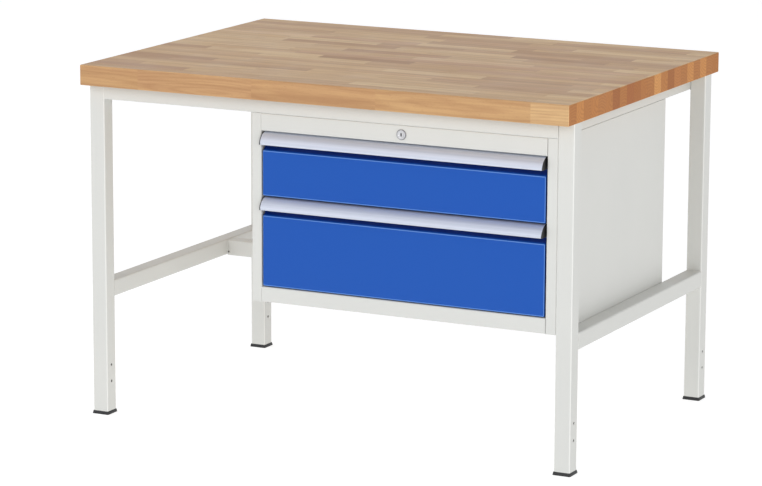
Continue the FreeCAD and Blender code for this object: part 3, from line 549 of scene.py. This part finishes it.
def at(tree, **axes):
    """A vector from any of its x, y and z, each a number or a socket."""
    return add(tree, "ShaderNodeCombineXYZ", {"xyz".index(axis): axes[axis] for axis in axes}).outputs[0]


def shifted(tree, geometry, way):
    """Geometry moved as a whole."""
    inputs = {"Geometry": geometry, "Translation": way}
    return add(tree, "GeometryNodeTransform", inputs).outputs[0]


def planted(tree, points, shape, **how):
    """A shape set on each point, turned or scaled if asked."""
    inputs = {"Points": points, "Instance": shape, **how}
    return add(tree, "GeometryNodeInstanceOnPoints", inputs).outputs[0]


def slab(tree, **sizes):
    """A flat bar of the sizes given along x, y and z, round the origin."""
    return add(tree, "GeometryNodeMeshCube", {"Size": at(tree, **sizes)}).outputs[0]


def ball(tree, radius):
    return add(tree, "GeometryNodeMeshIcoSphere", {"Radius": radius, "Subdivisions": 2}).outputs[0]


def frustum(tree, sides, low_radius, high_radius, low, depth):
    """Round or flat-sided frustum that stands at a height."""
    cone = add(tree, "GeometryNodeMeshCone", {
        "Vertices": sides, "Radius Bottom": low_radius, "Radius Top": high_radius, "Depth": depth})
    return shifted(tree, cone.outputs["Mesh"], at(tree, z=low))


def fastener_tree():
    """Flanged hexagon head with a threaded, pointed shank, set on each seat along its way."""
    sizes = ("Head Radius", "Head Height", "Flange Radius", "Shank Radius", "Shank Length", "Pitch")
    tree, start = grower("fastener", sizes)
    radius, height, pitch = start["Head Radius"], start["Head Height"], start["Pitch"]
    flange, shank, length = start["Flange Radius"], start["Shank Radius"], start["Shank Length"]
    rim = calc(tree, "MULTIPLY", height, 0.18)
    crown = calc(tree, "MULTIPLY", height, 0.16)
    body = calc(tree, "SUBTRACT", calc(tree, "SUBTRACT", height, rim), crown)
    below_rim = calc(tree, "MULTIPLY", rim, -1.0)
    below_body = calc(tree, "SUBTRACT", below_rim, body)
    below_crown = calc(tree, "SUBTRACT", below_body, crown)
    root = calc(tree, "MULTIPLY", shank, 0.86)
    worn = calc(tree, "MULTIPLY", radius, 0.84)
    bevel = calc(tree, "MULTIPLY", flange, 0.93)
    tip = calc(tree, "MULTIPLY", shank, 0.4)
    half_pitch = calc(tree, "MULTIPLY", pitch, 0.5)
    plain = calc(tree, "SUBTRACT", length, calc(tree, "MULTIPLY", shank, 0.6))
    turns = calc(tree, "FLOOR", calc(tree, "SUBTRACT", calc(tree, "DIVIDE", plain, pitch), 0.5))
    ridge = joined(
        tree, frustum(tree, 12, root, shank, 0.0, half_pitch),
        frustum(tree, 12, shank, root, half_pitch, half_pitch))
    line = add(tree, "GeometryNodeMeshLine", {"Count": turns, "Offset": at(tree, z=pitch)}).outputs[0]
    fastener = joined(
        tree, frustum(tree, 24, bevel, flange, below_rim, rim),
        frustum(tree, 6, radius, radius, below_body, body),
        frustum(tree, 6, worn, radius, below_crown, crown),
        frustum(tree, 12, root, root, 0.0, plain),
        frustum(tree, 12, root, tip, plain, calc(tree, "SUBTRACT", length, plain)),
        planted(tree, line, ridge))
    way = add(tree, "GeometryNodeInputNamedAttribute", {"Name": "way"}, data_type="FLOAT_VECTOR").outputs[0]
    turn = add(tree, "FunctionNodeAlignRotationToVector", {"Vector": way}, axis="Z").outputs[0]
    finish_growth(tree, start, planted(tree, start["Seats"], fastener, Rotation=turn), False)
    return tree


def ball_cage_tree():
    """Two rows of balls in a channel-shaped cage that runs rearward from each seat."""
    sizes = ("Ball Radius", "Pitch", "Row Height", "Web Offset", "Steel")
    tree, start = grower("ball_cage", sizes, ("Balls",))
    pitch, row, steel, offset = start["Pitch"], start["Row Height"], start["Steel"], start["Web Offset"]
    one_ball = ball(tree, start["Ball Radius"])
    length = calc(tree, "MULTIPLY", pitch, start["Balls"])
    middle = calc(tree, "MULTIPLY", calc(tree, "SUBTRACT", length, pitch), 0.5)
    half_web = calc(tree, "MULTIPLY", offset, 0.5)
    reach = calc(tree, "ABSOLUTE", offset)
    parts = []
    for side in (-1.0, 1.0):
        height = calc(tree, "MULTIPLY", row, side)
        line = add(tree, "GeometryNodeMeshLine", {
            "Count": start["Balls"], "Start Location": at(tree, z=height), "Offset": at(tree, y=pitch)})
        parts.append(planted(tree, line.outputs[0], one_ball))
        flange = slab(tree, x=reach, y=length, z=steel)
        parts.append(shifted(tree, flange, at(tree, x=half_web, y=middle, z=height)))
    web = slab(tree, x=steel, y=length, z=calc(tree, "MULTIPLY_ADD", row, 2.0, steel))
    parts.append(shifted(tree, web, at(tree, x=offset, y=middle)))
    finish_growth(tree, start, planted(tree, start["Seats"], joined(tree, *parts)), False)
    return tree


def weld_bead_tree():
    """Overlapping ripples of weld along each seam."""
    tree, start = grower("weld_bead", ("Bead Radius", "Pitch"), ("Seed",))
    path = add(tree, "GeometryNodeMeshToCurve", {0: start["Seats"]}).outputs[0]
    even = add(tree, "GeometryNodeResampleCurve", {"Curve": path, "Length": start["Pitch"]}, mode="LENGTH")
    luck = add(
        tree, "FunctionNodeRandomValue", {"Min": 0.86, "Max": 1.1, "Seed": start["Seed"]}, data_type="FLOAT")
    luck_value = [socket for socket in luck.outputs if socket.enabled][0]
    beads = planted(tree, even.outputs[0], ball(tree, start["Bead Radius"]), Scale=luck_value)
    finish_growth(tree, start, beads, True)
    return tree


def grown(name, tree, places, slot, sizes, ways=(), seams=()):
    """A plain mesh piece grown by a tree from its seats."""
    mesh = bpy.data.meshes.new(name)
    mesh.from_pydata(places, seams, [])
    if ways:
        attribute = mesh.attributes.new("way", "FLOAT_VECTOR", "POINT")
        for entry, way in zip(attribute.data, ways):
            entry.vector = way
    piece = bpy.data.objects.new(name, mesh)
    bpy.context.scene.collection.objects.link(piece)
    grow = piece.modifiers.new("grow", "NODES")
    grow.node_group = tree
    values = dict(sizes, Finish=finishes[slot])
    for socket in tree.interface.items_tree:
        if socket.in_out == "INPUT" and socket.name in values:
            grow[socket.identifier] = values[socket.name]
    graph = bpy.context.evaluated_depsgraph_get()
    piece.data = bpy.data.meshes.new_from_object(piece.evaluated_get(graph))
    piece.data.name = name
    piece.modifiers.clear()
    bpy.data.meshes.remove(mesh)
    return piece


# ---------------------------------------------------------------- fasteners
BOLT = {
    "Head Radius": 0.0072, "Head Height": 0.005, "Flange Radius": 0.0074, "Shank Radius": 0.004,
    "Shank Length": 0.0231, "Pitch": 0.00125}
SCREW = {
    "Head Radius": 0.0042, "Head Height": 0.0028, "Flange Radius": 0.005, "Shank Radius": 0.0025,
    "Shank Length": 0.033, "Pitch": 0.0016}
SHORT_SCREW = dict(SCREW, **{"Shank Length": 0.012})
UP, DOWN, FORWARD = (0, 0, 1), (0, 0, -1), (0, -1, 0)

# housing: sheet and washer under a bolt's head, the bolts' distance from the sides and the middle,
# the y of the front row, and that of the single bolt in the right-hand rail
SHEET = 0.0015
WASHER = 0.0016
BOLT_INSET = 0.05
FRONT_BOLTS_Y = -0.384
REAR_BOLT_Y = 0.097
# worktop: thickness of the tabs, and their screws' distance from the rails
TAB = 0.003
TAB_INSET = 0.015
CORNER_INSET = 0.030
# drawers: the screws' distance from the middle, behind the front's face and above the tray's floor
TRAY_SCREW_X = 0.338
TRAY_SCREW_SEAT = 0.0197
TRAY_SCREW_LIFTS = (0.025, 0.085)


def housing_bolts():
    """Four bolts that hang the housing from the top rails, and two that fix it to the cross beam."""
    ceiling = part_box("housing_top")[1].z - SHEET - WASHER
    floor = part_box("housing_bottom")[0].z + SHEET + WASHER
    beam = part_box("cross_beam")
    beam_y = (beam[0].y + beam[1].y) / 2
    rail_x = (RAIL_LOW.x + RAIL_HIGH.x) / 2
    left, middle, right = HOUSING_LEFT + BOLT_INSET, HOUSING_MIDDLE + BOLT_INSET, HOUSING_RIGHT - BOLT_INSET
    hung = [(x, FRONT_BOLTS_Y, ceiling) for x in (left, middle, right)] + [(rail_x, REAR_BOLT_Y, ceiling)]
    stood = [(x, beam_y, floor) for x in (left, right)]
    ways = [UP] * len(hung) + [DOWN] * len(stood)
    bolts = grown("hanging_bolts", fastener, hung + stood, "zinc", BOLT, ways)
    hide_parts("housing_bolts")
    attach(bolts, "bench")


def worktop_screws():
    """Six wood screws that go up through the tabs into the worktop."""
    seat = WORKTOP_LOW.z - TAB
    corner_x, corner_y, side_x = RAIL_LOW.x - CORNER_INSET, LEG_LOW.y - TAB_INSET, RAIL_LOW.x - TAB_INSET
    places = [(x, y, seat) for x in (-corner_x, corner_x) for y in (-corner_y, corner_y)]
    places += [(x, 0.0, seat) for x in (-side_x, side_x)]
    screws = grown("tab_screws", fastener, places, "zinc", SCREW, [UP] * len(places))
    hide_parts("worktop_screws")
    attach(screws, "bench")


def drawer_screws(drawer):
    """Four screws that go forward through the tray into its front."""
    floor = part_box(drawer + "_tray")[0].z
    places = [
        (HOUSING_MIDDLE + side * TRAY_SCREW_X, FRONT_Y + TRAY_SCREW_SEAT, floor + lift)
        for side in (-1, 1) for lift in TRAY_SCREW_LIFTS]
    screws = grown(drawer + "_front_screws", fastener, places, "zinc", SHORT_SCREW, [FORWARD] * len(places))
    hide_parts(drawer + "_screws")
    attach(screws, drawer + "_drawer")


# ---------------------------------------------------------------- runners
# a cage's distance from the drawer's middle, the y of its first balls with the drawer shut, its sizes
CAGES = {
    "outer": (0.3556, -0.109, {
        "Ball Radius": 0.0018, "Pitch": 0.0101, "Row Height": 0.019, "Web Offset": 0.0018,
        "Steel": 0.0006, "Balls": 29}),
    "inner": (0.3515, -0.388, {
        "Ball Radius": 0.0011, "Pitch": 0.0091, "Row Height": 0.01425, "Web Offset": 0.0026,
        "Steel": 0.0005, "Balls": 29}),
}


def ball_cages(drawer, hand):
    """Outer cage behind, inner cage in front, as they stand when the drawer is shut."""
    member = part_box(f"{drawer}_runner_middle_{hand}")
    side = -1 if hand == "left" else 1
    height = (member[0].z + member[1].z) / 2
    for name, (reach, y, sizes) in CAGES.items():
        place = (HOUSING_MIDDLE + side * reach, y, height)
        handed = dict(sizes, **{"Web Offset": side * sizes["Web Offset"]})
        cage = grown(f"{drawer}_{name}_ball_cage_{hand}", ball_cage, [place], "zinc", handed)
        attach(cage, f"{drawer}_middle_runner_{hand}")


# ---------------------------------------------------------------- welds
WELD = {"Bead Radius": 0.0017, "Pitch": 0.0013, "Seed": 7}
# how far a seam stays off the corners of a leg, of a rail and of the beam
LEG_CLEAR, RAIL_CLEAR, BEAM_CLEAR = 0.005, 0.004, 0.005
SEAM = 0.03


def frame_welds():
    """Seams between the tubes, in the corners that aren't ground flush."""
    rail, beam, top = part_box("side_rail_left"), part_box("cross_beam"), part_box("top_rail_front")
    leg_x, leg_y = LEG_LOW.x, LEG_LOW.y
    places, seams = [], []

    def seam(start, stop):
        seams.append((len(places), len(places) + 1))
        places.extend((start, stop))

    for side in (-1, 1):
        for y in (-leg_y, leg_y):
            outward = math.copysign(1.0, y)
            near_x, near_y = leg_x + LEG_CLEAR, y + outward * LEG_CLEAR
            for z in (rail[0].z, rail[1].z):
                seam((side * near_x, y, z), (side * (near_x + SEAM), y, z))
            rail_x = side * RAIL_LOW.x
            seam((rail_x, y, top[0].z + RAIL_CLEAR), (rail_x, y, top[1].z - RAIL_CLEAR))
            if side < 0 or y > 0:
                seam((side * leg_x, near_y, top[0].z), (side * leg_x, near_y + outward * SEAM, top[0].z))
        for y in (beam[0].y, beam[1].y):
            seam((side * leg_x, y, beam[0].z + BEAM_CLEAR), (side * leg_x, y, beam[1].z - BEAM_CLEAR))
    welds = grown("frame_welds", weld_bead, places, "frame_grey", WELD, seams=seams)
    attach(welds, "bench")


# ---------------------------------------------------------------- turned and moulded pieces
def smooth_piece(name, points, faces, slot, sharp):
    """A mesh piece shaded smooth, with a crease wherever it bends by more than an angle."""
    mesh = bpy.data.meshes.new(name)
    mesh.from_pydata(points, [], faces)
    mesh.materials.append(finishes[slot])
    mesh.shade_smooth()
    mesh.set_sharp_from_angle(angle=sharp)
    piece = bpy.data.objects.new(name, mesh)
    bpy.context.scene.collection.objects.link(piece)
    return piece


def ring_faces(rings, sides, closed):
    """Quads between rings of points; a closed run joins the last ring to the first."""
    faces = []
    for ring in range(rings if closed else rings - 1):
        here, there = ring * sides, (ring + 1) % rings * sides
        for i in range(sides):
            j = (i + 1) % sides
            faces.append((here + i, here + j, there + j, there + i))
    return faces


def rounded_square(half, corner, height, middle, steps=6):
    """Points round a square whose corners are quarter circles."""
    points = []
    reach = (half - corner) * math.sqrt(2)
    for quarter in range(4):
        turn = math.pi / 2 * quarter + math.pi / 4
        for step in range(steps + 1):
            angle = math.pi / 2 * (quarter + step / steps)
            points.append((
                middle[0] + reach * math.cos(turn) + corner * math.cos(angle),
                middle[1] + reach * math.sin(turn) + corner * math.sin(angle), height))
    return points


# half width, corner radius and height of a foot's sole, its shoulder and its hollow stem
FOOT_RINGS = (
    (0.0195, 0.002, 0.0), (0.0217, 0.0022, 0.0002), (0.0220, 0.0024, 0.0008), (0.0218, 0.0024, 0.0024),
    (0.0209, 0.0026, 0.0066), (0.0205, 0.0028, 0.0077), (0.0198, 0.003, 0.008), (0.0177, 0.0012, 0.008),
    (0.0177, 0.0012, 0.0285), (0.0165, 0.001, 0.03), (0.0148, 0.0008, 0.03), (0.0146, 0.0006, 0.0085))
FOOT_CREASE = math.radians(50)


def foot_plug(row, hand):
    """Plug with a flared sole; its stem, hollow from the top, stands in the leg."""
    node = f"foot_{row}_{hand}"
    low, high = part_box(node)
    middle = ((low.x + high.x) / 2, (low.y + high.y) / 2)
    points = []
    for half, corner, height in FOOT_RINGS:
        points += rounded_square(half, corner, height, middle)
    sides = len(points) // len(FOOT_RINGS)
    faces = ring_faces(len(FOOT_RINGS), sides, False)
    faces.append(tuple(reversed(range(sides))))
    faces.append(tuple(range(len(points) - sides, len(points))))
    plug = smooth_piece(f"foot_plug_{row}_{hand}", points, faces, "black_plastic", FOOT_CREASE)
    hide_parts(node)
    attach(plug, "bench")


# radius and distance behind the fascia's face, from the rosette's edge to its bore
ROSETTE = (
    (0.0120, 0.0), (0.0120, -0.0009), (0.0117, -0.0017), (0.0110, -0.0023), (0.0101, -0.0025),
    (0.0094, -0.0024), (0.0091, -0.0020), (0.0087, -0.0020), (0.0084, -0.0024), (0.0075, -0.0025),
    (0.0067, -0.0023), (0.00605, -0.0017))
BARREL_R, THREAD_R, BARREL_L, BORE_R, THREAD_PITCH = 0.0081, 0.0085, 0.024, 0.00605, 0.001
LOCK_SIDES = 56
LOCK_CREASE = math.radians(32)


def lock_escutcheon():
    """Rosette with a turned groove, and its threaded barrel behind the fascia."""
    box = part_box("lock_case")
    height = (box[0].z + box[1].z) / 2
    profile = list(ROSETTE) + [(BORE_R, BARREL_L), (BARREL_R, BARREL_L)]
    for turn in range(int(BARREL_L / THREAD_PITCH) - 2, 0, -1):
        profile += [(THREAD_R, (turn + 0.5) * THREAD_PITCH), (BARREL_R, turn * THREAD_PITCH)]
    profile.append((BARREL_R, 0.0))
    points = []
    for radius, depth in profile:
        for i in range(LOCK_SIDES):
            angle = 2 * math.pi * i / LOCK_SIDES
            points.append((
                HOUSING_MIDDLE + radius * math.cos(angle), FRONT_Y + depth,
                height + radius * math.sin(angle)))
    faces = ring_faces(len(profile), LOCK_SIDES, True)
    rosette = smooth_piece("lock_rosette", points, faces, "lock_nickel", LOCK_CREASE)
    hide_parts("lock_case")
    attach(rosette, "bench")


fastener, ball_cage, weld_bead = fastener_tree(), ball_cage_tree(), weld_bead_tree()
housing_bolts()
worktop_screws()
frame_welds()
lock_escutcheon()
for drawer in ("upper", "lower"):
    drawer_screws(drawer)
    for hand in ("left", "right"):
        ball_cages(drawer, hand)
for row in ("front", "rear"):
    for hand in ("left", "right"):
        foot_plug(row, hand)


# ---------------------------------------------------------------- studio
def studio_floor():
    """White sweep that glows a little, so that it stays white."""
    mesh = bpy.data.meshes.new("floor")
    half = FLOOR_HALF
    corners = [(-half, -half, 0), (half, -half, 0), (half, half, 0), (-half, half, 0)]
    mesh.from_pydata(corners, [], [(0, 1, 2, 3)])
    floor = bpy.data.objects.new("floor", mesh)
    bpy.context.scene.collection.objects.link(floor)
    material, tree, shader, place = surface("white_sweep")
    paper = noise(tree, place, 3.0, 3.0, 0.5)
    tint = mix(tree, paper, (0.44, 0.44, 0.44, 1.0), (0.46, 0.46, 0.46, 1.0))
    link(tree, shader, Base_Color=tint)
    shader.inputs["Roughness"].default_value = 0.8
    shader.inputs["Specular IOR Level"].default_value = 0.1
    shader.inputs["Emission Color"].default_value = (1.0, 1.0, 1.0, 1.0)
    shader.inputs["Emission Strength"].default_value = FLOOR_GLOW
    mesh.materials.append(material)


def softbox(name, place, target, size, power):
    """A rectangular lamp that faces a target."""
    lamp = bpy.data.lights.new(name, "AREA")
    lamp.shape = "RECTANGLE"
    lamp.size, lamp.size_y = size
    lamp.energy = power
    holder = bpy.data.objects.new(name, lamp)
    holder.location = place
    holder.rotation_mode = "QUATERNION"
    holder.rotation_quaternion = (Vector(target) - Vector(place)).to_track_quat("-Z", "Y")
    bpy.context.scene.collection.objects.link(holder)


def studio_light():
    """A grey room, paler behind the bench, and three softboxes."""
    world = bpy.data.worlds.new("studio")
    bpy.context.scene.world = world
    world.use_nodes = True
    tree = world.node_tree
    tree.nodes.clear()
    axes = split(tree, add(tree, "ShaderNodeTexCoord").outputs["Generated"])
    rearward = calc(tree, "MULTIPLY_ADD", axes[0], 0.85, axes[1])
    walls = mix(tree, remap(tree, rearward, -0.6, 0.5, 0.0, 1.0, True), FRONT_WALL, REAR_WALL)
    room = mix(tree, remap(tree, axes[2], 0.15, 0.85, 0.0, 1.0, True), walls, CEILING)
    glow = add(tree, "ShaderNodeBackground", {"Color": room, "Strength": 1.0})
    add(tree, "ShaderNodeOutputWorld", {"Surface": glow.outputs[0]})
    softbox("front_softbox", (-2.4, -8.5, 4.4), (0.0, 0.0, 0.5), (5.6, 3.8), 208.0)
    softbox("left_softbox", (-6.0, -0.8, 2.3), (-0.6, 0.0, 0.3), (3.0, 2.0), 90.0)
    softbox("right_softbox", (4.4, -5.2, 2.0), (0.0, 0.0, 0.5), (3.0, 3.0), 104.0)
    bpy.context.scene.view_settings.view_transform = "Standard"


def studio_camera():
    """Long lens at the front right, looking a little down."""
    data = bpy.data.cameras.new("camera")
    data.sensor_width = SENSOR
    data.lens = CAMERA_LENS
    data.clip_end = 200.0
    camera = bpy.data.objects.new("camera", data)
    turn = (
        Matrix.Rotation(CAMERA_AZIMUTH, 4, "Z") @ Matrix.Rotation(math.pi / 2 - CAMERA_ELEVATION, 4, "X")
        @ Matrix.Rotation(CAMERA_ROLL, 4, "Z"))
    camera.matrix_world = Matrix.Translation(CAMERA_PLACE) @ turn
    bpy.context.scene.collection.objects.link(camera)
    bpy.context.scene.camera = camera


studio_floor()
studio_light()
studio_camera()
